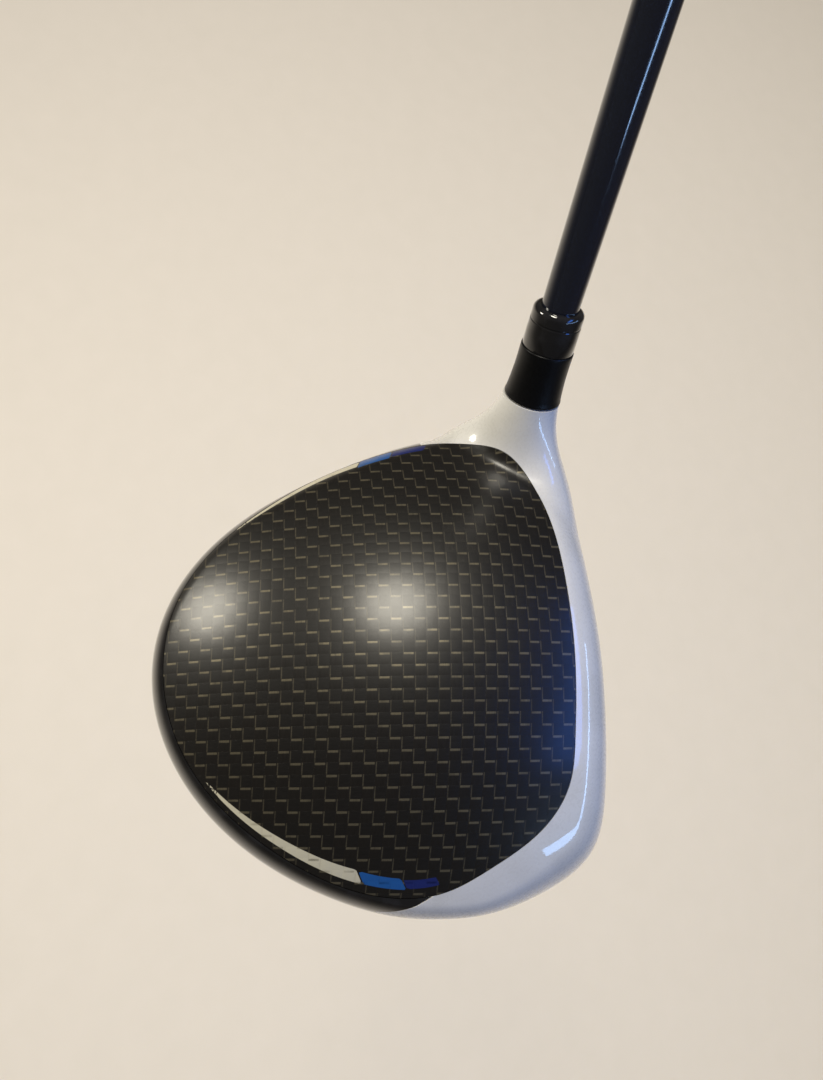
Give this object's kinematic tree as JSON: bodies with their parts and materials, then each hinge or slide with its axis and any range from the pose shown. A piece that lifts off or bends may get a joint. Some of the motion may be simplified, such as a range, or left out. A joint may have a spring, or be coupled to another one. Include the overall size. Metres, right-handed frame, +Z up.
{
  "type": "golf driver",
  "caption": "Adjustable golf driver: hollow head with a woven carbon crown and white front, bonded loft sleeve, tapered shaft and rubber grip; head, screws and rear weight come off.",
  "frame": {"origin": "centre of the flat patch on which the sole rests, with the club at address", "axes": "+X towards the heel and shaft, +Y towards the back of the head (the face looks along -Y), +Z up"},
  "size_m": [0.729, 0.1154, 0.9806],
  "materials": {
    "white_paint": "gloss",
    "face_metal": "brushed",
    "plug_metal": "satin",
    "soft_insert": "matte",
    "carbon_weave": "satin",
    "black_ring": "gloss",
    "steel": "satin",
    "black_anodised": "satin",
    "retainer_nylon": "matte",
    "ferrule_plastic": "gloss",
    "shaft_paint": "gloss",
    "grip_rubber": "matte",
    "tape": "matte"
  },
  "bodies": {
    "shaft_assembly": {"shaft": "shaft_paint", "hosel_sleeve": "black_anodised", "ferrule": "ferrule_plastic", "tip_plug": "grip_rubber", "grip_tape": "tape", "grip": "grip_rubber", "grip_cap": "grip_rubber"},
    "head": {"front_body": "white_paint", "face_plate": "face_metal", "face_port_screws": "plug_metal", "slot_insert": "soft_insert", "crown_panel": "carbon_weave", "sole_panel": "carbon_weave", "rear_ring": "black_ring", "weight_housing": "black_ring", "screw_retainer": "retainer_nylon"},
    "screw_washer": {"screw_washer": "steel"},
    "hosel_screw": {"hosel_screw": "steel"},
    "rear_weight": {"rear_weight": "steel"},
    "rear_weight_screw": {"rear_weight_screw": "steel"}
  },
  "joints": [
    {"name": "head_slide", "type": "slide", "parent": "shaft_assembly", "child": "head", "axis": [-0.5446, 0, -0.8387], "range_m": [0, 0.05]},
    {"name": "screw_back_out", "type": "slide", "parent": "head", "child": "screw_washer", "axis": [-0.5446, 0, -0.8387], "range_m": [0, 0.008]},
    {"name": "screw_turn", "type": "hinge", "parent": "screw_washer", "child": "hosel_screw", "pos_m": [0.04566, -0.013, 0.03304], "axis": [-0.5446, 0, -0.8387], "range_deg": [0, 3600]},
    {"name": "weight_lift", "type": "slide", "parent": "head", "child": "rear_weight", "axis": [0, 0.2862, -0.9582], "range_m": [0, 0.008]},
    {"name": "weight_screw_turn", "type": "hinge", "parent": "rear_weight", "child": "rear_weight_screw", "pos_m": [0, 0.056, 0.00511], "axis": [0, 0.2862, -0.9582], "range_deg": [0, 3600]}
  ],
  "couplings": [
    {"joint": "screw_turn", "follows": "screw_back_out", "rad_per_m": 7854},
    {"joint": "weight_screw_turn", "follows": "weight_lift", "rad_per_m": 7854}
  ]
}
